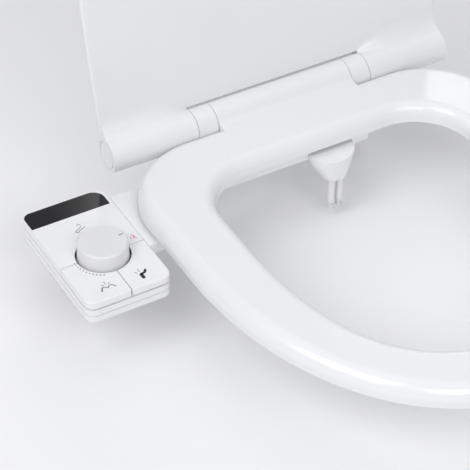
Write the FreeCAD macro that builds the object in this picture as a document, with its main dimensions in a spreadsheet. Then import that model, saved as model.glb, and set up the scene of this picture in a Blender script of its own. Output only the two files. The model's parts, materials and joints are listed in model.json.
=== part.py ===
"""Electric bidet seat: seat ring, lid, slim base plate with two nozzles and a side control panel.

Millimetres, +Z up, -Y towards the front of the bowl, +X to the right of somebody facing the seat.
The origin is midway between the two fixing bolts, on the plane where the base plate lies on the rim.
The seat is modelled lowered and the lid open. The hinge line runs along X, above the origin.
"""

import FreeCAD, Part
import math
import os
import Sketcher
from FreeCAD import Placement, Rotation, Vector

DOC = FreeCAD.newDocument("ElectricBidetSeat")

X_AXIS = (1, 0, 0)
Y_AXIS = (0, 1, 0)
UP = (0, 0, 1)
DOWN = (0, 0, -1)
FORWARD = (0, -1, 0)

# ---------------------------------------------------------------- driving sizes

DRIVING_SIZES = {
    "bolt_spacing": (155, "distance between the two fixing bolts"),
    "hinge_height": (24, "hinge line above the rim"),
    "hinge_radius": (16, "outside of posts, lid barrels and seat tongue"),
    "hinge_gap": (0.5, "side gap between neighbours on the hinge line"),
    "post_width": (18.6, "hinge post, along the hinge line"),
    "pin_radius": (5, "hinge pin"),
    "pin_end": (104, "outer end of a hinge pin, from the middle"),
    "pin_start": (50, "inner end of a hinge pin, from the middle"),
    "running_gap": (0.05, "radial clearance of everything that turns or slides"),
    "bearing_radius": (10, "outside of the hinge bushes and dampers"),
    "lid_half_width_back": (169, "lid at its barrels"),
    "lid_half_width": (176, "lid at its widest"),
    "lid_front": (402, "hinge line to the lid's front edge"),
    "lid_thickness": (7.5, "lid panel"),
    "lid_face_height": (31, "lid's inner face above the rim, lid closed"),
    "lid_open_angle": (95.5, "lid leans back past upright"),
    "seat_half_width": (176.5, "seat ring outside"),
    "seat_front": (404, "hinge line to the seat's front edge"),
    "seat_back": (16.5, "hinge line to the ring's rear edge"),
    "seat_corner_radius": (73, "rear outer corners of the ring"),
    "seat_bottom": (12, "underside of the ring above the rim"),
    "seat_top": (29.5, "top of the ring above the rim"),
    "seat_outer_round": (12.5, "outer top edge of the ring"),
    "seat_inner_round": (10.5, "inner top edge of the ring"),
    "opening_half_width": (122.5, "opening of the ring"),
    "opening_back": (69, "hinge line to the opening's rear edge"),
    "opening_front": (350, "hinge line to the opening's front edge"),
    "opening_corner_radius": (52, "rear corners of the opening"),
    "plate_thickness": (6, "base plate with its cover"),
    "plate_floor": (1.2, "base plate alone"),
    "lip_front": (62.5, "hinge line to the plate's front lip"),
    "ear_radius": (13, "round seats of the slotted adjusters"),
    "slot_width": (9.2, "adjuster slot"),
    "slot_length": (22, "adjuster slot, end to end"),
    "bolt_radius": (4, "fixing bolt shank"),
    "deck_thickness": (34, "ceramic deck that the bolts clamp"),
    "panel_left": (260.5, "middle of the seat to the panel's outer side"),
    "panel_width": (76, "control panel along X"),
    "panel_length": (126.9, "control panel along Y"),
    "panel_back": (21, "hinge line to the panel's rear edge"),
    "panel_corner": (8.5, "plan corners of the panel"),
    "panel_top": (10, "panel top above the rim"),
    "panel_bottom": (12, "panel underside below the rim"),
    "panel_wall": (3.4, "panel side walls"),
    "knob_x": (222.2, "middle of the seat to the knob's axis"),
    "knob_y": (98, "hinge line to the knob's axis"),
    "knob_radius": (21.6, "flow knob at its foot"),
    "knob_top": (24, "knob top above the rim"),
    "dial_gap": (1.6, "open ring around the knob"),
    "stem_radius": (3, "valve stem"),
    "key_seam": (97.7, "hinge line to the seam behind the keys"),
    "key_split": (221.5, "middle of the seat to the split between the keys"),
    "key_gap": (0.7, "seams around the keys"),
    "key_bottom": (3.3, "lower edge of the keys above the rim"),
    "key_travel": (1.2, "key stroke"),
    "plunger_radius": (3, "key plunger"),
    "nozzle_x": (16.3, "middle of the nozzle pair"),
    "nozzle_y": (74.5, "hinge line to the nozzles"),
    "nozzle_pitch": (8.2, "between the nozzles"),
    "nozzle_radius": (3.25, "nozzle tube"),
    "nozzle_tip_depth": (53, "nozzle tips below the rim"),
    "nozzle_travel": (14, "nozzle stroke"),
    "guard_half_width": (21.8, "nozzle guard at the lip"),
    "guard_depth": (18.6, "nozzle guard in front of the lip"),
    "guard_bottom": (18.5, "guard below the rim"),
    "inlet_radius": (10.48, "outside of the G1/2 inlet thread"),
}


class Size:
    """A length that knows its number now and the expression that gives it."""

    def __init__(self, value, text):
        self.value = float(value)
        self.text = text

    def joined(self, other, sign, value):
        return Size(value, f"({self.text} {sign} {size_of(other).text})")

    def __add__(self, other):
        return self.joined(other, "+", self.value + size_of(other).value)

    def __sub__(self, other):
        return self.joined(other, "-", self.value - size_of(other).value)

    def __mul__(self, other):
        return self.joined(other, "*", self.value * size_of(other).value)

    def __truediv__(self, other):
        return self.joined(other, "/", self.value / size_of(other).value)

    def __radd__(self, other):
        return size_of(other) + self

    def __rsub__(self, other):
        return size_of(other) - self

    def __rmul__(self, other):
        return size_of(other) * self

    def __neg__(self):
        return size_of(0) - self


def size_of(number):
    if isinstance(number, Size):
        return number
    return Size(number, f"({float(number)})")


def number(size):
    return size_of(size).value


class Sizes:
    """The spreadsheet, with every driving size as an attribute."""

    def __init__(self, table):
        sheet = DOC.addObject("Spreadsheet::Sheet", "Sizes")
        for row, (alias, (value, meaning)) in enumerate(table.items(), start=1):
            sheet.set(f"A{row}", meaning)
            sheet.set(f"B{row}", str(value))
            sheet.setAlias(f"B{row}", alias)
            setattr(self, alias, Size(value, f"Sizes.{alias}"))


D = Sizes(DRIVING_SIZES)
DOC.recompute()

NODES = []


def node(obj, name):
    """Names a finished sub-part, which is then written to its own file."""
    obj.Label = name
    NODES.append(obj)
    return obj


# ---------------------------------------------------------------- building blocks


def bind(obj, path, size):
    obj.setExpression(path, size_of(size).text)


def place(obj, point, direction=UP):
    """Puts an object's origin at a point, with its own Z along a direction."""
    obj.Placement = Placement(Vector(*map(number, point)), Rotation(Vector(*UP), Vector(*direction)))
    for axis, size in zip("xyz", point):
        bind(obj, f"Placement.Base.{axis}", size)


def box(name, low, high):
    obj = DOC.addObject("Part::Box", name)
    for prop, start, end in zip(("Length", "Width", "Height"), low, high):
        bind(obj, prop, size_of(end) - start)
    place(obj, low)
    return obj


def cylinder(name, radius, height, start, direction=UP):
    obj = DOC.addObject("Part::Cylinder", name)
    bind(obj, "Radius", radius)
    bind(obj, "Height", height)
    place(obj, start, direction)
    return obj


def cone(name, radius_start, radius_end, height, start, direction=UP):
    obj = DOC.addObject("Part::Cone", name)
    bind(obj, "Radius1", radius_start)
    bind(obj, "Radius2", radius_end)
    bind(obj, "Height", height)
    place(obj, start, direction)
    return obj


def torus(name, ring_radius, wire_radius, centre, direction=UP):
    obj = DOC.addObject("Part::Torus", name)
    bind(obj, "Radius1", ring_radius)
    bind(obj, "Radius2", wire_radius)
    place(obj, centre, direction)
    return obj


def fuse(name, *shapes):
    obj = DOC.addObject("Part::MultiFuse", name)
    obj.Shapes = list(shapes)
    obj.Refine = True
    return obj


def cut(name, base, *tools):
    obj = DOC.addObject("Part::Cut", name)
    obj.Base = base
    obj.Tool = tools[0] if len(tools) == 1 else fuse(name + "_tools", *tools)
    obj.Refine = True
    return obj


def common(name, base, tool):
    obj = DOC.addObject("Part::Common", name)
    obj.Base = base
    obj.Tool = tool
    obj.Refine = True
    return obj


def group(name, *shapes):
    """Identical separate pieces that share one node."""
    obj = DOC.addObject("Part::Compound", name)
    obj.Links = list(shapes)
    return obj


def feature(name, shape):
    obj = DOC.addObject("Part::Feature", name)
    obj.Shape = shape
    return obj


def rounded(name, base, radius, wanted):
    """Rounds the edges of a solid that pass a test."""
    DOC.recompute()
    size = number(radius)
    obj = DOC.addObject("Part::Fillet", name)
    obj.Base = base
    obj.Edges = [(i, size, size) for i, edge in enumerate(base.Shape.Edges, start=1) if wanted(edge)]
    return obj


def edge_at_height(height):
    """A test for edges that lie in one horizontal plane."""
    z = number(height)

    def wanted(edge):
        return abs(edge.BoundBox.ZMin - z) < 1e-4 and abs(edge.BoundBox.ZMax - z) < 1e-4

    return wanted


def tube(name, outer, inner, height, start, direction=UP):
    """A straight tube: a cylinder with a bore right through it."""
    return cut(
        name,
        cylinder(name + "_outside", outer, height, start, direction),
        cylinder(name + "_bore", inner, height, start, direction),
    )


def origin_plane(body, role):
    return next(f for f in body.Origin.OriginFeatures if f.Role == role)


def sketch_on(body, name, role="XY_Plane", centre=(0, 0), lift=0):
    """A sketch on one of the body's origin planes, moved within and off that plane."""
    sketch = body.newObject("Sketcher::SketchObject", name)
    sketch.AttachmentSupport = (origin_plane(body, role), [""])
    sketch.MapMode = "FlatFace"
    for axis, size in zip("xyz", (*centre, lift)):
        bind(sketch, f"AttachmentOffset.Base.{axis}", size)
    return sketch


def constrain(sketch, size, kind, *where):
    index = sketch.addConstraint(Sketcher.Constraint(kind, *where, number(size)))
    bind(sketch, f"Constraints[{index}]", size)


def rounded_rectangle(sketch, width, length, radius):
    """Four tangent lines and arcs around the sketch's own origin."""
    w, l, r = number(width) / 2, number(length) / 2, number(radius)
    corners = [(w - r, l - r, 0), (r - w, l - r, 90), (r - w, r - l, 180), (w - r, r - l, 270)]
    for x, y, start in corners:
        circle = Part.Circle(Vector(x, y, 0), Vector(*UP), r)
        angle = math.radians(start)
        sketch.addGeometry(Part.ArcOfCircle(circle, angle, angle + math.pi / 2))
    sides = [
        ((w - r, l), (r - w, l)),
        ((-w, l - r), (-w, r - l)),
        ((r - w, -l), (w - r, -l)),
        ((w, r - l), (w, l - r)),
    ]
    for start, end in sides:
        sketch.addGeometry(Part.LineSegment(Vector(*start, 0), Vector(*end, 0)))
    for arc in range(4):
        line = 4 + arc
        sketch.addConstraint(Sketcher.Constraint("Tangent", arc, 2, line, 1))
        sketch.addConstraint(Sketcher.Constraint("Tangent", line, 2, (arc + 1) % 4, 1))
    for line, kind in zip(range(4, 8), ("Horizontal", "Vertical", "Horizontal", "Vertical")):
        sketch.addConstraint(Sketcher.Constraint(kind, line))
    for arc in range(1, 4):
        sketch.addConstraint(Sketcher.Constraint("Equal", 0, arc))
    sketch.addConstraint(Sketcher.Constraint("Symmetric", 0, 3, 2, 3, -1, 1))
    constrain(sketch, size_of(width) - size_of(radius) * 2, "DistanceX", 1, 3, 0, 3)
    constrain(sketch, size_of(length) - size_of(radius) * 2, "DistanceY", 3, 3, 0, 3)
    constrain(sketch, radius, "Radius", 0)


def polygon(sketch, points):
    """A closed outline of straight lines, each corner held by its two sizes."""
    count = len(points)
    corners = [Vector(number(x), number(y), 0) for x, y in points]
    for i in range(count):
        sketch.addGeometry(Part.LineSegment(corners[i], corners[(i + 1) % count]))
    for i in range(count):
        sketch.addConstraint(Sketcher.Constraint("Coincident", i, 2, (i + 1) % count, 1))
    for i, (x, y) in enumerate(points):
        constrain(sketch, x, "DistanceX", -1, 1, i, 1)
        constrain(sketch, y, "DistanceY", -1, 1, i, 1)


def pad(body, sketch, height, name="Pad"):
    obj = body.newObject("PartDesign::Pad", name)
    obj.Profile = sketch
    bind(obj, "Length", height)
    return obj


def layer(name, inset, bottom, top):
    """A slab of the control panel's outline, drawn in by an inset, between two heights."""
    body = DOC.addObject("PartDesign::Body", name)
    centre = (D.panel_width / 2 - D.panel_left, -D.panel_back - D.panel_length / 2)
    sketch = sketch_on(body, name + "_outline", centre=centre, lift=bottom)
    inset = size_of(inset)
    rounded_rectangle(sketch, D.panel_width - inset * 2, D.panel_length - inset * 2, D.panel_corner - inset)
    pad(body, sketch, size_of(top) - bottom, name + "_pad")
    return body


def plate_layer(name, bottom, top, inset=0):
    """A slab of the base plate's outline: the side arm, the front lip and the two ears."""
    body = DOC.addObject("PartDesign::Body", name)
    sketch = sketch_on(body, name + "_outline", lift=bottom)
    edge = size_of(inset)
    slant = edge * 1.45
    left = D.panel_width - D.panel_left
    ear = D.bolt_spacing / 2 + 20
    polygon(
        sketch,
        [
            (left + edge, edge - 107),
            (-139 - slant, edge - 107),
            (-110 - slant / 2, edge - D.lip_front),
            (56 - slant / 3, edge - D.lip_front),
            (ear - edge, -22 + slant / 3),
            (ear - edge, 19 - edge),
            (-ear + edge / 2, 19 - edge),
            (-122 + edge / 4, -34 - edge),
            (left + edge, -34 - edge),
        ],
    )
    pad(body, sketch, size_of(top) - bottom, name + "_pad")
    return body


def dome(name, foot_radius, head_radius, wall, bottom, top, centre):
    """A soft sleeve that narrows upwards, which gives way and springs back."""
    x, y = centre
    height = size_of(top) - bottom
    return cut(
        name,
        cone(name + "_outside", foot_radius, head_radius, height, (x, y, bottom)),
        cone(name + "_inside", foot_radius - wall, head_radius - wall, height, (x, y, bottom)),
    )


def bent_pipe(name, points, radius, bend):
    """A solid round run through points, with tangent arcs at the bends."""
    points = [Vector(*map(number, point)) for point in points]
    bend = number(bend)
    edges = []
    start = points[0]
    for before, corner, after in zip(points, points[1:], points[2:]):
        back, ahead = (before - corner).normalize(), (after - corner).normalize()
        half_turn = (math.pi - back.getAngle(ahead)) / 2
        reach = bend * math.tan(half_turn)
        arc_start, arc_end = corner + back * reach, corner + ahead * reach
        middle = (back + ahead).normalize()
        arc_middle = corner + middle * (bend / math.cos(half_turn) - bend)
        edges.append(Part.LineSegment(start, arc_start).toShape())
        edges.append(Part.Arc(arc_start, arc_middle, arc_end).toShape())
        start = arc_end
    edges.append(Part.LineSegment(start, points[-1]).toShape())
    path = Part.Wire(edges)
    section = Part.Wire(Part.makeCircle(number(radius), points[0], points[1] - points[0]))
    return feature(name, path.makePipeShell([section], True, True))


# ---------------------------------------------------------------- lid and seat outlines


def mirrored(points):
    return [Vector(-p.x, p.y, p.z) for p in reversed(points)]


def ring_wire(half_width, back, corner, front, waist, power, height):
    """Closed outline with a straight rear edge, round rear corners and a superellipse front."""
    depth = front - waist
    steps = 16
    right = []
    for step in range(1, steps + 1):
        angle = math.pi / 2 * step / steps
        x = half_width * math.cos(angle) ** (2 / power)
        right.append(Vector(x, -waist - depth * math.sin(angle) ** (2 / power), height))
    side = Vector(half_width, -waist, height)
    front_points = [side] + right + mirrored(right[:-1]) + [Vector(-half_width, -waist, height)]
    curve = Part.BSplineCurve()
    along = Vector(*FORWARD)
    curve.interpolate(Points=front_points, InitialTangent=along, FinalTangent=-along)
    edges = [curve.toShape()]
    middle = math.sqrt(0.5) * corner
    for sign in (-1, 1):
        centre = Vector(sign * (half_width - corner), -back - corner, height)
        side_point = Vector(sign * half_width, -back - corner, height)
        rear_point = Vector(centre.x, -back, height)
        edges.append(Part.LineSegment(Vector(sign * half_width, -waist, height), side_point).toShape())
        between = centre + Vector(sign * middle, middle, 0)
        edges.append(Part.Arc(side_point, between, rear_point).toShape())
    inner = half_width - corner
    edges.append(Part.LineSegment(Vector(-inner, -back, height), Vector(inner, -back, height)).toShape())
    return Part.Wire(Part.__sortEdges__(edges))


def seat_edge(inset, height):
    return ring_wire(
        number(D.seat_half_width) - inset,
        number(D.seat_back) + inset,
        number(D.seat_corner_radius) - inset,
        number(D.seat_front) - inset,
        164,
        2.1,
        height,
    )


def opening_edge(inset, height):
    """Edge of the seat's opening; a positive inset makes the opening smaller."""
    return ring_wire(
        number(D.opening_half_width) - inset,
        number(D.opening_back) + inset,
        number(D.opening_corner_radius) - inset,
        number(D.opening_front) - inset,
        158,
        2.42,
        height,
    )


def prism(wire, height):
    return Part.Face(wire).extrude(Vector(0, 0, height))


def fillet_flat_edges(shape, height, radius):
    """Rounds the edges that lie in one horizontal plane."""
    edges = []
    for edge in shape.Edges:
        bounds = edge.BoundBox
        if abs(bounds.ZMin - height) > 1e-4 or abs(bounds.ZMax - height) > 1e-4:
            continue
        edges.append(edge)
    return shape.makeFillet(radius, edges)


def seat_block(bottom, top, wall, outer_round, inner_round):
    """The ring as one solid, drawn in by a wall thickness, with rounded edges."""
    outside = prism(seat_edge(wall, bottom), top - bottom)
    if outer_round:
        outside = fillet_flat_edges(outside, top, outer_round)
    hole = prism(opening_edge(-wall, bottom - 1), top - bottom + 2)
    block = outside.cut(hole)
    if inner_round:
        limit = number(D.opening_half_width) + 1
        edges = []
        for edge in block.Edges:
            bounds = edge.BoundBox
            flat = abs(bounds.ZMin - top) < 1e-4 and abs(bounds.ZMax - top) < 1e-4
            if flat and max(bounds.XMax, -bounds.XMin) < limit and bounds.YMin > -number(D.opening_front) - 1:
                if bounds.YMax < -number(D.seat_back) - number(D.seat_outer_round) - 5:
                    edges.append(edge)
        block = block.makeFillet(inner_round, edges)
    return block


def hinge_profile(reach):
    """Side view of the seat's tongue: a barrel that flows forward into the ring's top."""
    radius = number(D.hinge_radius)
    axis = number(D.hinge_height)
    top = number(D.seat_top)
    blend = 9.0
    centre_z = top + blend
    centre_y = -math.sqrt((radius + blend) ** 2 - (centre_z - axis) ** 2)
    share = radius / (radius + blend)
    touch = Vector(0, centre_y * share, axis + (centre_z - axis) * share)
    middle = (Vector(0, centre_y, top) + touch) * 0.5 - Vector(0, centre_y, centre_z)
    middle = Vector(0, centre_y, centre_z) + middle.normalize() * blend
    bottom = number(D.seat_bottom)
    back_y = -math.sqrt(radius**2 - (axis - bottom) ** 2)
    edges = [
        Part.Arc(touch, Vector(0, radius, axis), Vector(0, back_y, bottom)).toShape(),
        Part.LineSegment(Vector(0, back_y, bottom), Vector(0, -reach, bottom)).toShape(),
        Part.LineSegment(Vector(0, -reach, bottom), Vector(0, -reach, top)).toShape(),
        Part.LineSegment(Vector(0, -reach, top), Vector(0, centre_y, top)).toShape(),
        Part.Arc(Vector(0, centre_y, top), middle, touch).toShape(),
    ]
    return Part.Wire(Part.__sortEdges__(edges))


def along_hinge(radius, start, end):
    """A cylinder on the hinge line between two places along X."""
    return Part.makeCylinder(radius, end - start, Vector(start, 0, number(D.hinge_height)), Vector(*X_AXIS))


# ---------------------------------------------------------------- seat

TONGUE_END = D.bolt_spacing / 2 - D.post_width / 2 - D.hinge_gap


def seat_bearing_pockets(gap=0.0):
    """Room for the seat's bush and damper in the ends of the tongue."""
    end = number(TONGUE_END)
    start = number(D.pin_start) - 1
    radius = number(D.bearing_radius) + gap
    return along_hinge(radius, start, end + 1).fuse(along_hinge(radius, -end - 1, -start))


def make_seat():
    bottom, top = number(D.seat_bottom), number(D.seat_top)
    outer, inner = number(D.seat_outer_round), number(D.seat_inner_round)
    wall = 3.0
    outside = seat_block(bottom, top, 0.0, outer, inner)
    end = number(TONGUE_END)
    reach = 40.0
    profile = hinge_profile(reach)
    tongue = Part.Face(profile).extrude(Vector(2 * end, 0, 0))
    tongue.translate(Vector(-end, 0, 0))
    shell = outside.fuse(tongue).removeSplitter()
    hollow = seat_block(bottom - 1, top - wall, wall, outer - wall, inner - wall)
    shell = shell.cut(hollow).cut(seat_bearing_pockets())
    node(feature("seat_ring", shell.removeSplitter()), "seat_ring")

    cover = seat_block(bottom, bottom + 2.2, wall, 0, 0)
    node(feature("seat_underside", cover), "seat_underside")

    pads = []
    for x, y in ((-150, -128), (150, -128), (-104, -318), (104, -318)):
        foot = cylinder("seat_bumper", 7, D.seat_bottom - 0.3, (x, y, 0.3))
        pads.append(rounded("seat_bumper_rounded", foot, 2, edge_at_height(0.3)))
    node(group("seat_bumpers", *pads), "seat_bumpers")


# ---------------------------------------------------------------- lid

BARREL_START = D.bolt_spacing / 2 + D.post_width / 2 + D.hinge_gap


def lid_outline(inset, height):
    """Closed outline of the lid panel, a little wider in front than at its barrels."""
    back = number(D.lid_half_width_back) - inset
    widest = number(D.lid_half_width) - inset
    front = number(D.lid_front) - inset
    waist = 170.0
    depth = front - waist
    power = 2.15
    steps = 16
    right = [Vector(back, 0, height), Vector(back + (widest - back) * 0.62, -85, height)]
    for step in range(steps + 1):
        angle = math.pi / 2 * step / steps
        x = widest * math.cos(angle) ** (2 / power)
        right.append(Vector(x, -waist - depth * math.sin(angle) ** (2 / power), height))
    curve = Part.BSplineCurve()
    curve.interpolate(right + mirrored(right[:-1]))
    rear = Part.LineSegment(Vector(-back, 0, height), Vector(back, 0, height))
    return Part.Wire(Part.__sortEdges__([curve.toShape(), rear.toShape()]))


def lid_root_profile(x, blend):
    """Side view of the lid's root: the panel above, with a hollow curve down to the barrel."""
    radius = number(D.hinge_radius)
    axis = number(D.hinge_height)
    face = number(D.lid_face_height)
    offset = face - axis
    centre_z = face - blend
    centre_y = -math.sqrt((radius + blend) ** 2 - (blend - offset) ** 2)
    share = radius / (radius + blend)
    touch = Vector(0, centre_y * share, axis + (centre_z - axis) * share)
    centre = Vector(0, centre_y, centre_z)
    middle = ((Vector(0, centre_y, face) + touch) * 0.5 - centre).normalize() * blend + centre
    upper = face + 1
    edges = [
        Part.Arc(Vector(0, centre_y, face), middle, touch).toShape(),
        Part.LineSegment(touch, Vector(0, 0, axis)).toShape(),
        Part.LineSegment(Vector(0, 0, axis), Vector(0, 0, upper)).toShape(),
        Part.LineSegment(Vector(0, 0, upper), Vector(0, centre_y, upper)).toShape(),
        Part.LineSegment(Vector(0, centre_y, upper), Vector(0, centre_y, face)).toShape(),
    ]
    profile = Part.Wire(Part.__sortEdges__(edges))
    profile.translate(Vector(x, 0, 0))
    return profile


def lid_root(start, end):
    """The hollow curve under the lid, which grows from almost nothing at the barrel's inner end."""
    small, large = 2.0, 18.0
    growth = 40.0
    steps = 4
    sections = []
    for step in range(steps + 1):
        share = 1 - (1 - step / steps) ** 2
        sections.append(lid_root_profile(start + growth * step / steps, small + (large - small) * share))
    rest = Part.Face(lid_root_profile(start + growth, large)).extrude(Vector(end - start - growth, 0, 0))
    return Part.makeLoft(sections, True, False).fuse(rest)


def opened(shape):
    """Turns a shape modelled with the lid closed to the open lid's place."""
    pivot = Vector(0, 0, number(D.hinge_height))
    turned = shape.copy()
    turned.rotate(pivot, Vector(-1, 0, 0), number(D.lid_open_angle))
    return turned


def make_lid():
    axis = number(D.hinge_height)
    radius = number(D.hinge_radius)
    face = number(D.lid_face_height)
    thick = number(D.lid_thickness)
    start, end = number(BARREL_START), number(D.lid_half_width_back)
    panel = prism(lid_outline(0, face), thick)
    panel = fillet_flat_edges(panel, face + thick, 3.5)
    panel = fillet_flat_edges(panel, face, 1.5)
    relief = along_hinge(radius + 1.5, -start, start)
    panel = panel.cut(relief)
    shape = panel
    for sign in (-1, 1):
        low = start if sign > 0 else -end
        barrel = along_hinge(radius, low, low + end - start)
        root = lid_root(start, end)
        if sign < 0:
            root = root.mirror(Vector(0, 0, 0), Vector(*X_AXIS))
        shape = shape.fuse(barrel).fuse(root)
    bearing = number(D.bearing_radius)
    cap_depth = 3.0
    for sign in (-1, 1):
        inner = number(D.pin_end) + 1
        low = start - 1 if sign > 0 else -inner
        shape = shape.cut(along_hinge(bearing, low, low + inner - start + 1))
        low = end - cap_depth if sign > 0 else -end - 1
        shape = shape.cut(along_hinge(radius - 2.5, low, low + cap_depth + 1))
    node(feature("lid", opened(shape.removeSplitter())), "lid")

    for side, sign in (("left", -1), ("right", 1)):
        low = end - cap_depth if sign > 0 else -end
        cap = along_hinge(radius - 2.5, low, low + cap_depth)
        groove_low = low + cap_depth - 0.7 if sign > 0 else low
        rim = along_hinge(radius - 3.3, groove_low, groove_low + 0.7)
        core = along_hinge(radius - 4.5, low - 1, low + cap_depth + 1)
        cap = cap.cut(rim.cut(core))
        node(feature(f"lid_end_cap_{side}", opened(cap)), f"lid_end_cap_{side}")

    pads = []
    for x, y in ((-140, -150), (140, -150), (-78, -345), (78, -345)):
        pads.append(Part.makeCylinder(5.5, 1.1, Vector(x, y, face - 1.1)))
    node(feature("lid_bumpers", opened(Part.Compound(pads))), "lid_bumpers")


# ---------------------------------------------------------------- hinge line


def make_hinges():
    axis = D.hinge_height
    foot = D.plate_thickness
    for side, sign in (("left", -1), ("right", 1)):
        middle = D.bolt_spacing / 2 * sign
        near = middle - D.post_width / 2
        far = middle + D.post_width / 2
        barrel = cylinder("post_barrel", D.hinge_radius, D.post_width, (near, 0, axis), X_AXIS)
        block = box("post_foot", (near, -12.5, foot), (far, 12.5, axis))
        head_room = cylinder("post_head_room", 7.3, 4.6, (middle, 0, foot))
        bore = cylinder("post_bore", D.pin_radius, D.post_width, (near, 0, axis), X_AXIS)
        post = cut("post", fuse("post_solid", barrel, block), head_room, bore)
        node(post, f"hinge_post_{side}")

        pin_low = D.pin_start if sign > 0 else -D.pin_end
        pin_length = D.pin_end - D.pin_start
        node(cylinder("hinge_pin", D.pin_radius, pin_length, (pin_low, 0, axis), X_AXIS), f"hinge_pin_{side}")

    fit = D.pin_radius + D.running_gap
    inner_length = TONGUE_END - D.pin_start + 1
    outer_length = D.pin_end + 1 - BARREL_START
    seat_left = (-TONGUE_END, 0, axis)
    seat_right = (D.pin_start - 1, 0, axis)
    lid_left = (-D.pin_end - 1, 0, axis)
    lid_right = (BARREL_START, 0, axis)
    node(tube("seat_hinge_bush", D.bearing_radius, fit, inner_length, seat_left, X_AXIS), "seat_hinge_bush")
    node(tube("seat_damper", D.bearing_radius, fit, inner_length, seat_right, X_AXIS), "seat_damper")
    node(tube("lid_damper", D.bearing_radius, fit, outer_length, lid_left, X_AXIS), "lid_damper")
    node(tube("lid_hinge_bush", D.bearing_radius, fit, outer_length, lid_right, X_AXIS), "lid_hinge_bush")


# ---------------------------------------------------------------- fixings


def make_fixings():
    bolts, washers, nuts, adjusters = [], [], [], []
    deck = -D.deck_thickness
    thread = D.bolt_radius - 0.3
    for sign in (-1, 1):
        x = D.bolt_spacing / 2 * sign
        head = cylinder("bolt_head", 7.2, 4.4, (x, 0, D.plate_thickness))
        shoulder = cylinder("bolt_shoulder", D.bolt_radius + 0.5, D.plate_thickness, (x, 0, 0))
        shank = cylinder("bolt_shank", D.bolt_radius, D.deck_thickness, (x, 0, deck))
        tail = cylinder("bolt_thread", thread, 28, (x, 0, deck - 28))
        bolts.append(fuse("bolt", head, shoulder, shank, tail))

        taper = cone("washer_cone", 13, 9, 6, (x, 0, deck), DOWN)
        washers.append(cut("washer", taper, cylinder("washer_bore", thread, 6, (x, 0, deck), DOWN)))

        barrel = cylinder("nut_barrel", 8.5, 12, (x, 0, deck - 6), DOWN)
        wings = box("nut_wings", (x - 17, -1.6, deck - 17), (x + 17, 1.6, deck - 8))
        bore = cylinder("nut_bore", thread, 12, (x, 0, deck - 6), DOWN)
        nuts.append(cut("nut", fuse("nut_solid", barrel, wings), bore))

        disc = cylinder("adjuster_disc", D.ear_radius - 0.1, D.plate_thickness - 0.3, (x, 0, 0.3))
        half = (D.slot_length - D.slot_width) / 2
        slot = D.slot_width / 2
        ends = [cylinder("slot_end", slot, 8, (x, half * way, -1)) for way in (-1, 1)]
        straight = box("slot_middle", (x - slot, -half, -1), (x + slot, half, 7))
        adjusters.append(cut("adjuster", disc, *ends, straight))
    node(group("fixing_bolts", *bolts), "fixing_bolts")
    node(group("cone_washers", *washers), "cone_washers")
    node(group("wing_nuts", *nuts), "wing_nuts")
    node(group("slot_adjusters", *adjusters), "slot_adjusters")


# ---------------------------------------------------------------- base plate

def make_plate():
    ears = []
    for sign in (-1, 1):
        x = D.bolt_spacing / 2 * sign
        ears.append(cylinder("ear_hole", D.ear_radius, D.plate_thickness + 2, (x, 0, -1)))
    screw_places = [(-150, -45), (-150, -97), (-100, -45), (-30, -45), (45, -45), (-40, 10), (40, 10)]
    clearance = [cylinder("plate_screw_hole", 1.6, 3, (x, y, -1)) for x, y in screw_places]
    floor = plate_layer("base_plate_slab", 0, D.plate_floor)
    node(cut("base_plate", floor, *ears, *clearance), "base_plate")

    slab = plate_layer("plate_cover_slab", D.plate_floor, D.plate_thickness)
    hollow = plate_layer("plate_cover_hollow", D.plate_floor - 1, D.plate_thickness - 1, 2.2)
    rings = []
    for sign in (-1, 1):
        x = D.bolt_spacing / 2 * sign
        rings.append(cylinder("ear_ring", D.ear_radius + 2, 3.8, (x, 0, D.plate_floor)))
    bosses = [cylinder("screw_boss", 3, 3.8, (x, y, D.plate_floor)) for x, y in screw_places]
    solid = fuse("plate_cover_solid", cut("plate_cover_shell", slab, hollow), *rings, *bosses)
    neck = box("cover_neck_gap", (D.nozzle_x - 14, -D.lip_front - 1, 0), (D.nozzle_x + 14, -51, 5))
    hoses = box("cover_hose_gap", (D.panel_width - D.panel_left - 1, -90, 0), (-178, -74, 5))
    pilot = [cylinder("screw_pilot", 1.2, 3.8, (x, y, 1)) for x, y in screw_places]
    node(cut("plate_cover", solid, *ears, neck, hoses, *pilot), "plate_cover")

    screws = []
    for x, y in screw_places:
        head = cylinder("plate_screw_head", 1.6, 1.0, (x, y, 0.2))
        shank = cylinder("plate_screw_shank", 1.2, 3.2, (x, y, 1.2))
        screws.append(fuse("plate_screw", head, shank))
    node(group("plate_screws", *screws), "plate_screws")

    left = D.panel_width - D.panel_left
    body = DOC.addObject("PartDesign::Body", "arm_fairing_body")
    sketch = sketch_on(body, "arm_fairing_side", role="XZ_Plane", lift=34)
    top = D.plate_thickness
    high = D.panel_top - 0.4
    polygon(sketch, [(left, top), (left + 34, top), (left + 33, top + 0.5), (left + 4, high), (left, high)])
    pad(body, sketch, 73, "arm_fairing_pad")
    node(body, "arm_fairing")


# ---------------------------------------------------------------- nozzles

NOZZLE_CEILING = 0.6
NECK_HALF_WIDTH = 13.5
NECK_FRONT = 62.5
NECK_BACK = 52
HOSE_Y = {"front": -57.6, "rear": -53.6}
HOSE_Z = 3.1
CHANNEL_RADIUS = 0.8


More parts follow.
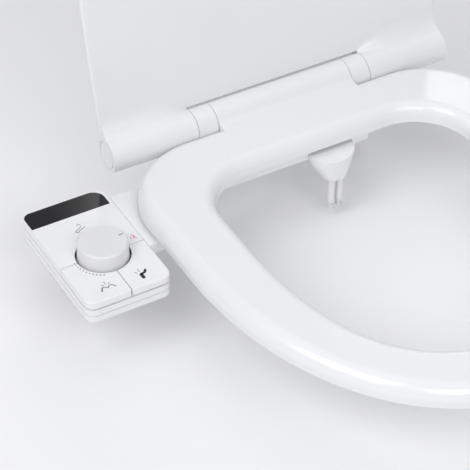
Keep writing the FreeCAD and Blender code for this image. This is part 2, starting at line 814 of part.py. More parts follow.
def guard_section(inset, half_width, depth, power, height):
    """Plan outline of the guard at one height: half a superellipse that starts at the lip."""
    back = -number(D.lip_front)
    middle = number(D.nozzle_x)
    wide, deep = half_width - inset, depth - inset
    points = []
    steps = 12
    for step in range(steps + 1):
        angle = math.pi * step / steps
        across = math.copysign(abs(math.cos(angle)) ** (2 / power), math.cos(angle))
        points.append(Vector(middle - wide * across, back - deep * math.sin(angle) ** (2 / power), height))
    curve = Part.BSplineCurve()
    curve.interpolate(points)
    return Part.Wire([curve.toShape(), Part.LineSegment(points[-1], points[0]).toShape()])


def shield(inset, bottom, top):
    """The guard's outer form, drawn in by an inset: wide at the lip, narrow at the nozzles."""
    wide = number(D.guard_half_width)
    deep = number(D.guard_depth)
    low = number(D.guard_bottom)
    levels = [
        (6.5, 1.0, 1.0, 2.2),
        (-3.0, 0.95, 1.0, 2.3),
        (-11.0, 0.76, 0.99, 2.6),
        (-low - 1.5, 0.5, 0.97, 3.0),
    ]
    sections = []
    for height, width_share, depth_share, power in levels:
        sections.append(guard_section(inset, wide * width_share, deep * depth_share, power, height))
    loft = Part.makeLoft(sections, True, False)
    corner = Vector(number(D.nozzle_x) - 30, -number(D.lip_front) - 30, bottom)
    keep = Part.makeBox(60, 40, top - bottom, corner)
    return loft.common(keep)


def sloping_top(drop):
    """Everything above the guard's top, which falls gently towards the front."""
    back = -number(D.lip_front)
    top = number(D.plate_thickness) - drop
    rear, front, over = back + 1, back - 24, top + 12
    corners = [(rear, top), (back - 4, top), (front, top - 5), (front, over), (rear, over)]
    points = [Vector(number(D.nozzle_x) - 40, y, z) for y, z in corners]
    face = Part.Face(Part.makePolygon(points + points[:1]))
    return face.extrude(Vector(80, 0, 0))


def make_nozzles():
    top = number(D.plate_thickness)
    low = number(D.guard_bottom)
    wall = 1.4
    guard = shield(0, -low, top).cut(sloping_top(0))
    inner = shield(wall, -low - 1, top).cut(sloping_top(wall))
    node(feature("nozzle_guard", guard.cut(inner)), "nozzle_guard")

    block = shield(wall + 0.05, 0.8 - low, top).cut(sloping_top(wall + 0.05))
    neck_left = number(D.nozzle_x) - NECK_HALF_WIDTH
    neck_depth = NECK_FRONT - NECK_BACK
    neck = Part.makeBox(2 * NECK_HALF_WIDTH, neck_depth, 3.6, Vector(neck_left, -NECK_FRONT, 1.3))
    block = block.fuse(neck)
    fit = number(D.nozzle_radius) + number(D.running_gap)
    y = -number(D.nozzle_y)
    for sign, hose_y in ((-1, HOSE_Y["front"]), (1, HOSE_Y["rear"])):
        x = number(D.nozzle_x) + sign * number(D.nozzle_pitch) / 2
        bore = Part.makeCylinder(fit, NOZZLE_CEILING + low, Vector(x, y, -low))
        inlet = Vector(neck_left, hose_y, HOSE_Z)
        side = Part.makeCylinder(CHANNEL_RADIUS, x - neck_left, inlet, Vector(*X_AXIS))
        start = Vector(x, hose_y, HOSE_Z)
        run = Vector(x, y, NOZZLE_CEILING) - start
        down = Part.makeCylinder(CHANNEL_RADIUS, run.Length, start, run)
        block = block.cut(bore.fuse(side).fuse(down))
    node(feature("nozzle_block", block), "nozzle_block")

    for name, sign in (("front", -1), ("rear", 1)):
        x = D.nozzle_x + D.nozzle_pitch / 2 * sign
        tip = -D.nozzle_tip_depth
        stem_top = NOZZLE_CEILING - 0.2 - D.nozzle_travel
        head_height = 9
        foot = (x, -D.nozzle_y, tip + head_height)
        stem_length = stem_top - tip - head_height
        node(tube("nozzle_tube", D.nozzle_radius, 1.6, stem_length, foot), f"nozzle_tube_{name}")
        head = cylinder("nozzle_head", D.nozzle_radius - 0.25, head_height, (x, -D.nozzle_y, tip))
        head = rounded("nozzle_head_rounded", head, 1.6, edge_at_height(tip))
        jet = cylinder("nozzle_jet", 0.7, 6, (x, -D.nozzle_y, tip + 5.5), FORWARD)
        feed = cylinder("nozzle_feed", 1.2, 4, (x, -D.nozzle_y, tip + 5))
        node(cut("nozzle_tip", head, jet, feed), f"nozzle_tip_{name}")


# ---------------------------------------------------------------- control panel

BASE_TOP = -4.1
GLAND_HEIGHT = -8.2
PIPE_HEIGHT = -7
MIDDLE_TOP = 2.7
BOARD_TOP = 6.0
TOP_WALL = 2.0
FRAME_BOTTOM = MIDDLE_TOP
FRAME_TOP = 4.6
SWITCH_TOP = 0.9
PLUNGERS = {"front": (-242, -128), "rear": (-203, -128)}
PANEL_SCREWS = [(-252, -138), (-192, -138), (-254.5, -78), (-191.5, -56)]
BOARD_POSTS = [(-252, -66), (-207, -66), (-207, -46)]
KEY_BOARD_BOTTOM = -2.2
KEY_BOARD_POSTS = [(-232, -137), (-212, -137)]
HOSE_GAP = ((-189, -90, 1.2), (-184, -74, 5.2))
WINDOW_X = (-259.9, -188)
WINDOW_Y = (-42.8, -21.8)


def knob_axis(name, radius, bottom, top):
    return cylinder(name, radius, size_of(top) - bottom, (-D.knob_x, -D.knob_y, bottom))


def panel_side(name, behind_seam):
    """A block over the whole panel, either behind or in front of the seam."""
    low = -D.key_seam if behind_seam else -160
    high = 0 if behind_seam else -D.key_seam - D.key_gap
    return box(name, (-270, low, -30), (-170, high, 30))


def upright_edge(x, y):
    """A test for the upright edge at one place."""

    def wanted(edge):
        bounds = edge.BoundBox
        return max(abs(v - x) for v in (bounds.XMin, bounds.XMax)) < 1e-4 and (
            max(abs(v - y) for v in (bounds.YMin, bounds.YMax)) < 1e-4
        )

    return wanted


def window_slab(name, gap, bottom, top):
    """The display's outline, drawn in by a gap, between two heights."""
    (left, right), (front, rear) = WINDOW_X, WINDOW_Y
    slab = box(name + "_box", (left + gap, front + gap, bottom), (right - gap, rear - gap, top))
    slab = rounded(name + "_left_corner", slab, 7 - gap, upright_edge(left + gap, rear - gap))
    return rounded(name + "_right_corner", slab, 11 - gap, upright_edge(right - gap, rear - gap))


def make_panel_shells():
    bottom = -D.panel_bottom
    wall = D.panel_wall
    groove = 0.9
    floor = bottom + 2
    solid = fuse(
        "panel_base_solid",
        layer("base_full", 0, bottom, BASE_TOP - groove),
        layer("base_lip", 1.2, BASE_TOP - groove, BASE_TOP),
    )
    solid = rounded("panel_base_rounded", solid, 2, edge_at_height(bottom))
    tray = cut("panel_base_tray", solid, layer("base_hollow", wall, floor, BASE_TOP + 1))
    posts = [cylinder("board_post", 2.5, 4.4 - floor, (x, y, floor)) for x, y in BOARD_POSTS]
    for x, y in KEY_BOARD_POSTS:
        posts.append(cylinder("key_board_post", 2.5, KEY_BOARD_BOTTOM - floor, (x, y, floor)))
    bosses = [cylinder("base_boss", 3.2, BASE_TOP - floor, (x, y, floor)) for x, y in PANEL_SCREWS]
    holes = [cylinder("base_screw_hole", 1.4, 12, (x, y, bottom - 1)) for x, y in PANEL_SCREWS]
    sinks = [cylinder("base_screw_sink", 2.7, 1.8, (x, y, bottom)) for x, y in PANEL_SCREWS]
    inlet = cylinder("base_inlet_hole", 7.05, 4, (-240, -45, bottom - 1))
    gland = cylinder("base_gland_hole", 3.02, 10.4, (-203, -D.panel_back + 1, GLAND_HEIGHT), FORWARD)
    tray = fuse("panel_base_posts", tray, *posts, *bosses)
    tray = cut("panel_base_holes", tray, *holes, *sinks, inlet, gland)
    node(tray, "panel_base")

    solid = fuse(
        "panel_middle_solid",
        layer("middle_full", 0, BASE_TOP, MIDDLE_TOP - 1),
        layer("middle_lip", 2.2, MIDDLE_TOP - 1, MIDDLE_TOP),
    )
    frame = cut("panel_middle_frame", solid, layer("middle_hollow", wall, BASE_TOP - 1, MIDDLE_TOP + 1))
    bosses = []
    for x, y in PANEL_SCREWS:
        side = -257.6 if x < -number(D.key_split) else -187.4
        bosses.append(cylinder("middle_boss", 3.2, MIDDLE_TOP - BASE_TOP, (x, y, BASE_TOP)))
        bosses.append(box("middle_rib", (min(x, side), y - 1, BASE_TOP), (max(x, side), y + 1, MIDDLE_TOP)))
    pilots = [cylinder("middle_pilot", 1.4, 6.6, (x, y, BASE_TOP - 1)) for x, y in PANEL_SCREWS]
    hoses = box("middle_hose_gap", *HOSE_GAP)
    node(cut("panel_middle", fuse("panel_middle_bosses", frame, *bosses), *pilots, hoses), "panel_middle")

    slab = layer("cover_full", 0, MIDDLE_TOP, D.panel_top)
    outline = rounded("cover_rounded", slab, 1.2, edge_at_height(D.panel_top))
    shell = cut("cover_shell", outline, layer("cover_hollow", wall, MIDDLE_TOP - 1, D.panel_top - TOP_WALL))
    shell = common("cover_rear", shell, panel_side("cover_side", True))
    dial = knob_axis("cover_dial", D.knob_radius + D.dial_gap, -5, 20)
    recess = window_slab("window_recess", 0, D.panel_top - 1.2, D.panel_top + 1)
    light = box("window_light", (-251, -42, 5), (-193, -27, D.panel_top))
    hoses = box("cover_hose_notch", *HOSE_GAP)
    node(cut("panel_cover", shell, dial, recess, light, hoses), "panel_cover")

    node(window_slab("window", 0.05, D.panel_top - 1.2, D.panel_top), "display_window")

    screws = []
    for x, y in PANEL_SCREWS:
        head = cylinder("panel_screw_head", 2.6, 1.5, (x, y, bottom + 0.3))
        shank = cylinder("panel_screw_shank", 1.4, 11.5, (x, y, bottom + 1.8))
        screws.append(fuse("panel_screw", head, shank))
    node(group("panel_screws", *screws), "panel_screws")


def make_keys():
    slab = layer("key_full", 0, D.key_bottom, D.panel_top)
    outline = rounded("key_rounded", slab, 1.2, edge_at_height(D.panel_top))
    shell = cut("key_shell", outline, layer("key_hollow", 1.8, D.key_bottom - 1, D.panel_top - TOP_WALL))
    shell = common("key_front", shell, panel_side("key_side", False))
    dial = knob_axis("key_dial", D.knob_radius + D.dial_gap, -5, 20)
    notch = box("key_notch", (-D.key_split - 1, -150, 0), (-D.key_split + 1, -147, 20))
    shell = cut("key_pair", shell, dial, notch)
    half_gap = D.key_gap / 2
    halves = {
        "front": box("front_key_side", (-270, -160, -10), (-D.key_split - half_gap, -90, 20)),
        "rear": box("rear_key_side", (-D.key_split + half_gap, -160, -10), (-170, -90, 20)),
    }
    under = D.panel_top - TOP_WALL
    for name, (x, y) in PLUNGERS.items():
        tip = SWITCH_TOP + 0.1 + D.key_travel
        plunger = cylinder("key_plunger", D.plunger_radius, under - tip, (x, y, tip))
        key = fuse("key_with_plunger", common("key_half", shell, halves[name]), plunger)
        node(key, f"{name}_wash_key")
        node(dome("key_dome", 5.6, 4.4, 0.6, FRAME_TOP, under - 0.05, (x, y)), f"{name}_key_dome")

    deck = common(
        "key_frame_deck",
        layer("key_frame_outline", 4.4, FRAME_BOTTOM, FRAME_TOP),
        box("key_frame_side", (-270, -160, 0), (-170, -105, 20)),
    )
    deck = fuse("key_frame_solid", deck, knob_axis("key_frame_disc", 22.6, FRAME_BOTTOM, FRAME_TOP))
    fit = D.plunger_radius + D.running_gap
    holes = [cylinder("plunger_hole", fit, 5, (x, y, 2)) for x, y in PLUNGERS.values()]
    holes.append(knob_axis("stem_hole", 4, 2, 7))
    node(cut("key_frame", deck, *holes), "key_frame")

    node(box("key_board", (-248, -143.5, KEY_BOARD_BOTTOM), (-196, -117, -0.6)), "key_board")
    switches = []
    for x, y in PLUNGERS.values():
        can = box("switch_can", (x - 3, y - 3, -0.6), (x + 3, y + 3, 0.5))
        switches.append(fuse("switch", can, cylinder("switch_button", 1.7, SWITCH_TOP - 0.5, (x, y, 0.5))))
    node(group("key_switches", *switches), "key_switches")


def make_knob():
    foot = 6.2
    body = DOC.addObject("PartDesign::Body", "knob_body")
    sketch = sketch_on(body, "knob_half_section", role="XZ_Plane")
    radius, top = D.knob_radius, D.knob_top
    rim = radius - 2.2
    polygon(
        sketch,
        [
            (D.stem_radius, foot),
            (7, foot),
            (7, top - 3),
            (rim, top - 3),
            (rim, foot),
            (radius, foot),
            (radius - 0.7, top - 1.2),
            (radius - 1.9, top),
            (0, top),
            (0, top - 6),
            (D.stem_radius, top - 6),
        ],
    )
    turn = body.newObject("PartDesign::Revolution", "knob_turn")
    turn.Profile = sketch
    turn.ReferenceAxis = (sketch, ["V_Axis"])
    turn.Angle = 360
    place(body, (-D.knob_x, -D.knob_y, 0))
    node(body, "knob")

    stem = knob_axis("stem_shaft", D.stem_radius, -8.2, top - 6)
    grooves, rings = [], []
    for height in (-2.4, -4.4):
        band = knob_axis("groove_outside", D.stem_radius + 1, height - 0.5, height + 0.5)
        core = knob_axis("groove_inside", D.stem_radius - 0.8, height - 1, height + 1)
        grooves.append(cut("stem_groove", band, core))
        rings.append(torus("stem_ring", D.stem_radius - 0.39, 0.4, (-D.knob_x, -D.knob_y, height)))
    node(cut("valve_stem", stem, *grooves), "valve_stem")
    node(group("stem_rings", *rings), "stem_rings")

    valve = knob_axis("valve_barrel", 13, -9.8, -1)
    neck = knob_axis("valve_neck", 8, -1, FRAME_BOTTOM)
    inlet = box("valve_inlet", (-237, -97, -9.6), (-229, -88, -4.4))
    outlet = box("valve_outlet", (-218, -99, -9.6), (-208, -91, -4.4))
    bore = knob_axis("valve_bore", D.stem_radius + D.running_gap, -8.6, FRAME_BOTTOM + 1)
    ports = [
        cylinder("valve_port_in", 1.5, 10, (-233, -88, PIPE_HEIGHT), FORWARD),
        cylinder("valve_port_cross", 1.5, 10, (-233, -D.knob_y, PIPE_HEIGHT), X_AXIS),
        cylinder("valve_port_out", 1.5, 12, (-208, -95, PIPE_HEIGHT), (-1, 0, 0)),
    ]
    node(cut("rotary_valve", fuse("valve_solid", valve, neck, inlet, outlet), bore, *ports), "rotary_valve")


def make_water_path():
    x, y = -240, -45
    bottom = -D.panel_bottom
    outside = fuse(
        "inlet_solid",
        cylinder("inlet_neck", 7, 2, (x, y, bottom)),
        cylinder("inlet_flange", 13, 3.4, (x, y, bottom - 3.4)),
        cylinder("inlet_thread", D.inlet_radius, 13.4, (x, y, bottom - 16.8)),
    )
    bore = cylinder("inlet_bore", 5, 30, (x, y, bottom - 20))
    seat = cylinder("inlet_filter_seat", 7.5, 3, (x, y, bottom - 16.8))
    node(cut("water_inlet", outside, bore, seat), "water_inlet")
    node(cylinder("inlet_filter", 7.45, 1.4, (x, y, bottom - 15.2)), "inlet_filter")
    node(tube("inlet_washer", 9.3, 5.5, 1.6, (x, y, bottom - 18.4)), "inlet_washer")

    valve = box("solenoid_box", (-249, -61, bottom + 2), (-230, -33, -3))
    passage = cylinder("solenoid_bore", 5, 6, (x, y, bottom + 1))
    outlet = cylinder("solenoid_outlet", 1.5, 14, (-233, -47, PIPE_HEIGHT), FORWARD)
    cross = cylinder("solenoid_cross", 1.5, 6, (-239, -47, PIPE_HEIGHT), X_AXIS)
    node(cut("solenoid_valve", valve, passage, outlet, cross), "solenoid_valve")
    node(cylinder("solenoid_coil", 7, 6.4, (x, y, -3)), "solenoid_coil")
    node(tube("supply_pipe", 2.5, 1.5, 27, (-233, -61, PIPE_HEIGHT), FORWARD), "supply_pipe")
    node(tube("link_pipe", 2.2, 1.5, 8.8, (-208, -95, PIPE_HEIGHT), X_AXIS), "link_pipe")

    outer = -188.3
    block = box("diverter_box", (-199.2, -99, bottom + 2), (outer, -70, 5.1))
    ports = [cylinder("diverter_port", 1.2, 6, (outer, hose_y, HOSE_Z), (-1, 0, 0)) for hose_y in (-78, -86)]
    ports.append(cylinder("diverter_inlet", 1.5, 6, (-199.2, -95, PIPE_HEIGHT), X_AXIS))
    node(cut("diverter_block", block, *ports), "diverter_block")

    end = D.nozzle_x - NECK_HALF_WIDTH
    for name, start_y, bend_x in (("front", -86, -148), ("rear", -78, -152)):
        run_y = HOSE_Y[name]
        plan = [(outer, start_y), (bend_x, start_y), (-115, run_y), (end, run_y)]
        node(bent_pipe("hose", [(px, py, HOSE_Z) for px, py in plan], 1.7, 9), f"hose_{name}")

    cable = tube("gland_tube", 3, 2.3, 9, (-203, -D.panel_back, GLAND_HEIGHT), FORWARD)
    flange = tube("gland_flange", 3.6, 2.3, 1.4, (-203, -D.panel_back + 1.4, GLAND_HEIGHT), FORWARD)
    node(fuse("cable_gland", cable, flange), "cable_gland")


def make_electronics():
    board = box("circuit_board", (-254, -68.5, 4.4), (-204, -31, BOARD_TOP))
    node(board, "circuit_board")
    node(box("display_module", (-250, -41, BOARD_TOP), (-205, -31, D.panel_top - 1.2)), "display_module")
    screws = []
    for x, y in BOARD_POSTS:
        screws.append(cylinder("board_screw", 2, 1, (x, y, BOARD_TOP)))
    node(group("board_screws", *screws), "board_screws")
    node(box("terminal_block", (-222, -66, BOARD_TOP), (-212, -58, 7.8)), "terminal_block")


MAKERS = (
    make_seat,
    make_lid,
    make_hinges,
    make_fixings,
    make_plate,
    make_nozzles,
    make_panel_shells,
    make_keys,
    make_knob,
    make_water_path,
    make_electronics,
)
for make in MAKERS:
    make()

DOC.recompute()

# ---------------------------------------------------------------- checks and files

for obj in DOC.Objects:
    if "Invalid" in obj.State or "Error" in obj.State:
        raise RuntimeError(f"{obj.Label} failed: {obj.State}")
os.makedirs("parts", exist_ok=True)
for obj in NODES:
    shape = obj.Shape
    if shape.isNull() or not shape.isValid() or not shape.Solids:
        raise RuntimeError(f"{obj.Label} has no valid solid")
    shape.exportStep(f"parts/{obj.Label}.step")
    print(f"{obj.Label}: {len(shape.Solids)} solid(s), {shape.Volume / 1000:.2f} cm3")
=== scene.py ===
"""Looks of the electric bidet seat: materials, printed signs, knob mark, lights, floor and camera.

Metres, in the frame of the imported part: +Z up, -Y towards the front of the bowl, +X to the right.
"""

import json
import math

import bpy
from mathutils import Matrix, Vector


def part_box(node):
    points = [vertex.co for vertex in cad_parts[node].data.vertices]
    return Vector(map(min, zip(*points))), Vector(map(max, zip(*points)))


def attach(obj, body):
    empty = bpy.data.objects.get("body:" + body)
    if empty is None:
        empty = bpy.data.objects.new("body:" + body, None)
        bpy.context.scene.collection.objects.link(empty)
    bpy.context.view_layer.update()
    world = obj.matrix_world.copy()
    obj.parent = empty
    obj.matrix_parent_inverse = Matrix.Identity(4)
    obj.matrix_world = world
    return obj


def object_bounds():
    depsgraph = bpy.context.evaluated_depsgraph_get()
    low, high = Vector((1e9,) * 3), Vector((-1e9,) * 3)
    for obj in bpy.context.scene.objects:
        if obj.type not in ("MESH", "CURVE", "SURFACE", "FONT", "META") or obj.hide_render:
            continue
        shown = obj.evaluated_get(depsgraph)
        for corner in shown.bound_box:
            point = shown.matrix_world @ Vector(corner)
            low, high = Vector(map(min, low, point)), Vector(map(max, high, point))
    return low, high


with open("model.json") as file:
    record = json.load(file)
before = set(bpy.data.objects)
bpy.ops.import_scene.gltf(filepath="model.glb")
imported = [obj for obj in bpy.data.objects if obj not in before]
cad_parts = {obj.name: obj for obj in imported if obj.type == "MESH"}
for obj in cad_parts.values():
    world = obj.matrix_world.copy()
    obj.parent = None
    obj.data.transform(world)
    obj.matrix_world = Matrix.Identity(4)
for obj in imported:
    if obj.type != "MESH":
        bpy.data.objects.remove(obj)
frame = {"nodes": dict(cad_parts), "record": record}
CAD_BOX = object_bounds()

MM = 0.001
SCENE = bpy.context.scene


# ---------------------------------------------------------------- materials

# The colour sockets of a Mix node, whose names are shared with its number sockets.
MIX_FIRST, MIX_SECOND, MIX_RESULT = 6, 7, 2

# Scale and detail of each noise.
DRIFT = (14, 3)
SMEAR = (45, 4)
BRUSH = (30, 6)
GRAIN_DETAIL = 2

# The part of a noise's range that a pattern uses.
NOISE_LOW, NOISE_HIGH = 0.35, 0.65

BRUSH_STRETCH = (4, 4, 260)
COAT_ROUGHNESS = 0.08


def surface_shader(tree):
    """The material's main shader."""
    return next(n for n in tree.nodes if n.type == "BSDF_PRINCIPLED")


def own_coordinates(tree):
    """Positions on the object itself, so that a pattern stays with a moving piece."""
    return tree.nodes.new("ShaderNodeTexCoord").outputs["Object"]


def noise(tree, coordinates, scale, detail):
    """A noise between 0 and 1 over the coordinates."""
    node = tree.nodes.new("ShaderNodeTexNoise")
    node.inputs["Scale"].default_value = scale
    node.inputs["Detail"].default_value = detail
    tree.links.new(coordinates, node.inputs["Vector"])
    return node.outputs["Fac"]


def ramp(tree, factor, low, high):
    """Maps a noise to a range of numbers."""
    node = tree.nodes.new("ShaderNodeMapRange")
    node.inputs["From Min"].default_value = NOISE_LOW
    node.inputs["From Max"].default_value = NOISE_HIGH
    node.inputs["To Min"].default_value = low
    node.inputs["To Max"].default_value = high
    tree.links.new(factor, node.inputs["Value"])
    return node.outputs["Result"]


def mixed_colour(tree, factor, one, other):
    """One colour where the factor is 0 and the other where it is 1."""
    node = tree.nodes.new("ShaderNodeMix")
    node.data_type = "RGBA"
    node.inputs[MIX_FIRST].default_value = (*one, 1)
    node.inputs[MIX_SECOND].default_value = (*other, 1)
    tree.links.new(factor, node.inputs[0])
    return node.outputs[MIX_RESULT]


def moulded(
    name,
    colour,
    rough=(0.2, 0.26),
    shift=0.985,
    grain=900,
    bump=0.02,
    depth=0.04 * MM,
    metal=0.0,
    coat=0.0,
):
    """A moulded or machined surface: faint drifts of shade, gloss that varies, and a fine grain."""
    material = bpy.data.materials.new(name)
    material.use_nodes = True
    tree = material.node_tree
    shader = surface_shader(tree)
    place = own_coordinates(tree)
    factor = ramp(tree, noise(tree, place, *DRIFT), 0, 1)
    darker = [c * shift for c in colour]
    tree.links.new(mixed_colour(tree, factor, colour, darker), shader.inputs["Base Color"])
    smear = noise(tree, place, *SMEAR)
    tree.links.new(ramp(tree, smear, *rough), shader.inputs["Roughness"])
    bumps = tree.nodes.new("ShaderNodeBump")
    bumps.inputs["Strength"].default_value = bump
    bumps.inputs["Distance"].default_value = depth
    tree.links.new(noise(tree, place, grain, GRAIN_DETAIL), bumps.inputs["Height"])
    tree.links.new(bumps.outputs["Normal"], shader.inputs["Normal"])
    shader.inputs["Metallic"].default_value = metal
    shader.inputs["Coat Weight"].default_value = coat
    if coat:
        shader.inputs["Coat Roughness"].default_value = COAT_ROUGHNESS
    return material


def brushed(name, colour, rough):
    """Metal with fine lines along one axis."""
    material = moulded(name, colour, rough, 0.9, 700, 0.05, depth=0.05 * MM, metal=1.0)
    tree = material.node_tree
    shader = surface_shader(tree)
    place = own_coordinates(tree)
    mapping = tree.nodes.new("ShaderNodeMapping")
    mapping.inputs["Scale"].default_value = BRUSH_STRETCH
    tree.links.new(place, mapping.inputs["Vector"])
    lines = noise(tree, mapping.outputs["Vector"], *BRUSH)
    tree.links.new(ramp(tree, lines, *rough), shader.inputs["Roughness"])
    return material


WHITE = (0.86, 0.862, 0.875)
MATERIALS = {
    "white_shell": moulded("white_shell", WHITE, (0.17, 0.24), 0.99, coat=0.35),
    "white_fine": moulded("white_fine", (0.80, 0.80, 0.815), (0.3, 0.38)),
    "knob_grey": moulded("knob_grey", (0.78, 0.78, 0.79), (0.34, 0.42), 0.985, 1400, 0.05),
    "window_black": moulded("window_black", (0.003, 0.003, 0.004), (0.11, 0.13), 0.8),
    "grey_plastic": moulded("grey_plastic", (0.42, 0.43, 0.45), (0.4, 0.52), 0.93, 1200, 0.1),
    "nozzle_white": moulded("nozzle_white", (0.80, 0.80, 0.81), (0.16, 0.24), 0.98, coat=0.3),
    "nozzle_head": moulded("nozzle_head", (0.70, 0.70, 0.715), (0.26, 0.34), 0.97),
    "dark_rubber": moulded("dark_rubber", (0.03, 0.03, 0.03), (0.6, 0.75), 0.8, 1600, 0.25),
    "pale_rubber": moulded("pale_rubber", (0.62, 0.62, 0.61), (0.5, 0.62), 0.95, 1600, 0.2),
    "steel": brushed("steel", (0.60, 0.60, 0.61), (0.24, 0.38)),
    "brass": brushed("brass", (0.72, 0.52, 0.22), (0.24, 0.36)),
    "board_green": moulded("board_green", (0.02, 0.16, 0.05), (0.3, 0.4), 0.75, coat=0.4),
    "black_plastic": moulded("black_plastic", (0.02, 0.02, 0.02), (0.35, 0.5), 0.85, 1200, 0.1),
    "hose_clear": moulded("hose_clear", (0.68, 0.70, 0.72), (0.3, 0.4), 0.96),
}
SLOT_OF = {s["node"]: s["material_slot"] for s in frame["record"]["subparts"]}
for name, obj in frame["nodes"].items():
    obj.data.materials.clear()
    obj.data.materials.append(MATERIALS[SLOT_OF[name]])

GREY_INK = moulded("grey_ink", (0.16, 0.16, 0.17), (0.45, 0.55), 0.9, 1500, 0.05)
PALE_INK = moulded("pale_ink", (0.33, 0.33, 0.34), (0.45, 0.55), 0.92, 1500, 0.05)
BLACK_INK = moulded("black_ink", (0.015, 0.015, 0.017), (0.4, 0.5), 0.8, 1500, 0.05)
RED_INK = moulded("red_ink", (0.70, 0.20, 0.22), (0.45, 0.55), 0.9, 1500, 0.05)


# ---------------------------------------------------------------- printed signs

INK = 0.12 * MM

# Straight steps in a stroke's round end, a dot's circle and one span of a curve.
CAP_STEPS = 6
DOT_STEPS = 20
CURVE_STEPS = 5


def mesh_object(name, vertices, faces, material):
    """A new object in the scene."""
    mesh = bpy.data.meshes.new(name)
    mesh.from_pydata([tuple(v) for v in vertices], [], faces)
    mesh.update()
    obj = bpy.data.objects.new(name, mesh)
    SCENE.collection.objects.link(obj)
    obj.data.materials.append(material)
    return obj


def slab(outline, low, high):
    """A flat prism over an outline in the XY plane."""
    count = len(outline)
    vertices = [(x, y, low) for x, y in outline] + [(x, y, high) for x, y in outline]
    faces = [tuple(reversed(range(count))), tuple(range(count, 2 * count))]
    for i in range(count):
        j = (i + 1) % count
        faces.append((i, j, count + j, count + i))
    return vertices, faces


def joined(name, pieces, material):
    """One object from several lists of vertices and faces."""
    vertices, faces = [], []
    for piece_vertices, piece_faces in pieces:
        start = len(vertices)
        vertices += piece_vertices
        faces += [tuple(start + i for i in face) for face in piece_faces]
    return mesh_object(name, vertices, faces, material)


def stroke(points, width, low):
    """A line of ink with round ends: its outline follows both sides of the points."""
    half = width / 2
    points = [Vector((x, y)) for x, y in points]
    left, right = [], []
    for i, point in enumerate(points):
        before = points[max(i - 1, 0)]
        after = points[min(i + 1, len(points) - 1)]
        along = (after - before).normalized()
        side = Vector((-along.y, along.x))
        left.append(point + side * half)
        right.append(point - side * half)
    first = (points[1] - points[0]).normalized()
    last = (points[-1] - points[-2]).normalized()

    def cap(centre, direction):
        start = math.atan2(direction.y, direction.x) - math.pi / 2
        return [
            centre + Vector((math.cos(start + a), math.sin(start + a))) * half
            for a in (math.pi * k / CAP_STEPS for k in range(1, CAP_STEPS))
        ]

    outline = right + cap(points[-1], last) + left[::-1] + cap(points[0], -first)
    return slab([(p.x, p.y) for p in outline], low, low + INK)


def dot(x, y, radius, low):
    """A round spot of ink."""
    ring = [2 * math.pi * k / DOT_STEPS for k in range(DOT_STEPS)]
    return slab([(x + radius * math.cos(a), y + radius * math.sin(a)) for a in ring], low, low + INK)


def smooth_line(points):
    """More points along a run of corners, eased with a Catmull-Rom curve."""
    points = [Vector(p) for p in points]
    padded = [points[0] * 2 - points[1]] + points + [points[-1] * 2 - points[-2]]
    result = []
    for a, b, c, d in zip(padded, padded[1:], padded[2:], padded[3:]):
        for k in range(CURVE_STEPS):
            t = k / CURVE_STEPS
            bend = (2 * a - 5 * b + 4 * c - d) * t * t
            twist = (3 * b - a - 3 * c + d) * t**3
            result.append(0.5 * ((2 * b) + (c - a) * t + bend + twist))
    result.append(points[-1])
    return [tuple(p) for p in result]


def sign(name, body, material, centre, low, lines=(), dots=(), turn=0):
    """One printed sign, turned by some degrees about its centre.

    Lines are (points, width, smooth) and dots (x, y, radius), in millimetres.
    """
    rotation = Matrix.Rotation(math.radians(turn), 2)
    middle = Vector(centre)

    def put(point):
        return middle + rotation @ (Vector(point) * MM)

    pieces = []
    for points, width, smooth in lines:
        run = smooth_line(points) if smooth else points
        pieces.append(stroke([put(p) for p in run], width * MM, low))
    for x, y, radius in dots:
        p = put((x, y))
        pieces.append(dot(p.x, p.y, radius * MM, low))
    obj = joined(name, pieces, material)
    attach(obj, body)


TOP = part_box("panel_cover")[1].z
KNOB_LOW, KNOB_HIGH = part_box("knob")
KNOB = (KNOB_LOW + KNOB_HIGH) / 2

sign(
    "front_wash_sign",
    "front_wash_button",
    GREY_INK,
    (-0.237, -0.136),
    TOP,
    [
        ([(-6.2, -2.2), (-5.2, 0.2), (-4.2, 1.7)], 1.1, True),
        ([(-4.2, 1.7), (-2.2, 1.5), (0, -0.2), (1.6, 1.5), (4.0, 1.5), (6.4, -1.6)], 0.75, True),
        ([(-2.2, 3.3), (-3.6, 4.6)], 0.5, False),
        ([(-0.1, 4.4), (0, 7.6)], 0.5, False),
        ([(2.0, 3.5), (3.4, 4.8)], 0.5, False),
    ],
)
sign(
    "rear_wash_sign",
    "rear_wash_button",
    BLACK_INK,
    (-0.2065, -0.136),
    TOP,
    [
        ([(5.2, 4.5), (3.6, 2.2), (0.2, 1.4)], 2.1, True),
        ([(-0.1, 1.0), (-0.1, -1.0), (0, -3.2)], 2.9, True),
    ],
)
sign(
    "rear_spray_sign",
    "rear_wash_button",
    GREY_INK,
    (-0.2065, -0.136),
    TOP,
    [
        ([(0, 4.6), (0, 8.2)], 0.5, False),
        ([(-2.2, 3.6), (-3.6, 5.4)], 0.5, False),
    ],
)
sign(
    "nozzle_clean_sign",
    "base",
    PALE_INK,
    (-0.225, -0.0605),
    TOP,
    [
        ([(-4.8, -1.8), (-1.8, 0.2), (1.0, 1.6), (2.6, 3.2)], 0.6, True),
        ([(-3.0, -3.6), (0, -1.4), (3.6, 0.1), (5.4, 1.0)], 0.6, True),
        ([(-4.8, -1.8), (-3.0, -3.6)], 0.6, False),
        ([(-0.2, 5.0), (1.4, 6.5), (2.8, 4.9)], 0.6, True),
    ],
)
sign(
    "stop_sign",
    "base",
    RED_INK,
    (-0.1905, -0.0912),
    TOP,
    [
        ([(-3.2, -1.2), (-2.4, 1.4)], 0.55, False),
        ([(-1.2, 3.4), (0.3, 2.6), (-0.1, 0.2), (1.6, -2.6)], 0.6, True),
        ([(-1.4, -1.2), (1.4, 1.2)], 0.5, False),
    ],
)
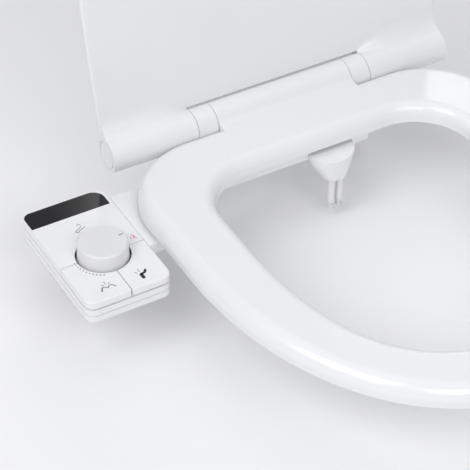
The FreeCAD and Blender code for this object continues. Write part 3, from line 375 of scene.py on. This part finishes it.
# A row of growing dots around the knob, in degrees and millimetres. The key's rear edge divides it.
DIAL_DOTS = 11
DIAL_START = 178
DIAL_STEP = 6.7
DIAL_REACH = 25.6
FIRST_DOT = 0.5
DOT_GROWTH = 0.03
dial_dots = {"base": [], "front_wash_button": []}
seam_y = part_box("front_wash_key")[1].y
for k in range(DIAL_DOTS):
    angle = math.radians(DIAL_START + DIAL_STEP * k)
    x, y = DIAL_REACH * math.cos(angle), DIAL_REACH * math.sin(angle)
    body = "base" if KNOB.y + y * MM > seam_y else "front_wash_button"
    dial_dots[body].append((x, y, FIRST_DOT + DOT_GROWTH * k))
for body, places in dial_dots.items():
    sign("flow_dots_" + body, body, PALE_INK, (KNOB.x, KNOB.y), TOP, (), places)

sign(
    "knob_mark",
    "knob",
    GREY_INK,
    (KNOB.x, KNOB.y),
    KNOB_HIGH.z,
    [([(15.0, 0), (18.2, 0)], 0.9, False)],
    turn=1,
)

# ---------------------------------------------------------------- floor, lights and camera

FLOOR_HALF = 6
FLOOR_Z = CAD_BOX[0][2] - 1 * MM
FLOOR_CORNERS = ((-1, -1), (1, -1), (1, 1), (-1, 1))

CAMERA_PLACE = (-0.7300, -1.1945, 1.0595)
AZIMUTH = math.radians(-29.93)
ELEVATION = math.radians(40.50)
ROLL = math.radians(0.42)
SENSOR = 36.0
LENS = 150.53
CLIP_END = 50

WORLD_COLOUR = (0.95, 0.96, 1.0, 1)
WORLD_STRENGTH = 0.43

# Name, place, target, size and power of each light.
SOFTBOXES = (
    ("key", (-1.7, -0.5, 1.9), (-0.1, -0.1, 0.05), (1.5, 1.5), 22),
    ("front", (-0.3, -1.9, 1.6), (0, 0, 0.2), (1.8, 1.2), 17),
    ("top", (0.2, 0.2, 2.2), (0, -0.2, 0), (2.0, 2.0), 7),
    ("rear", (1.17, 1.85, 1.75), (-0.1, 0, 0), (0.9, 0.9), 5.5),
)


def look(azimuth, elevation, roll):
    """Camera axes: azimuth 0 looks along +Y, a positive elevation looks down."""
    forward = Vector(
        (
            -math.sin(azimuth) * math.cos(elevation),
            math.cos(azimuth) * math.cos(elevation),
            -math.sin(elevation),
        )
    )
    right = Vector((math.cos(azimuth), math.sin(azimuth), 0))
    up = right.cross(forward)
    turned_right = right * math.cos(roll) + up * math.sin(roll)
    turned_up = up * math.cos(roll) - right * math.sin(roll)
    return Matrix((turned_right, turned_up, -forward)).transposed()


camera_data = bpy.data.cameras.new("view")
camera_data.sensor_width = SENSOR
camera_data.lens = LENS
camera_data.clip_end = CLIP_END
camera = bpy.data.objects.new("view", camera_data)
camera.matrix_world = Matrix.Translation(CAMERA_PLACE) @ look(AZIMUTH, ELEVATION, ROLL).to_4x4()
SCENE.collection.objects.link(camera)
SCENE.camera = camera

floor = mesh_object(
    "floor",
    [(x * FLOOR_HALF, y * FLOOR_HALF, FLOOR_Z) for x, y in FLOOR_CORNERS],
    [(0, 1, 2, 3)],
    moulded("floor_paper", (0.90, 0.90, 0.905), (0.75, 0.85), 0.995, 300, 0.02),
)

world = bpy.data.worlds.new("studio")
SCENE.world = world
world.use_nodes = True
background = next(n for n in world.node_tree.nodes if n.type == "BACKGROUND")
background.inputs["Color"].default_value = WORLD_COLOUR
background.inputs["Strength"].default_value = WORLD_STRENGTH


def softbox(name, place, target, size, power):
    """A rectangular light that faces its target."""
    data = bpy.data.lights.new(name, "AREA")
    data.shape = "RECTANGLE"
    data.size, data.size_y = size
    data.energy = power
    light = bpy.data.objects.new(name, data)
    aim = Vector(target) - Vector(place)
    light.matrix_world = Matrix.Translation(place) @ aim.to_track_quat("-Z", "Y").to_matrix().to_4x4()
    SCENE.collection.objects.link(light)


for row in SOFTBOXES:
    softbox(*row)

SCENE.view_settings.view_transform = "Standard"
SCENE.view_settings.look = "None"
SCENE.view_settings.exposure = 0.0
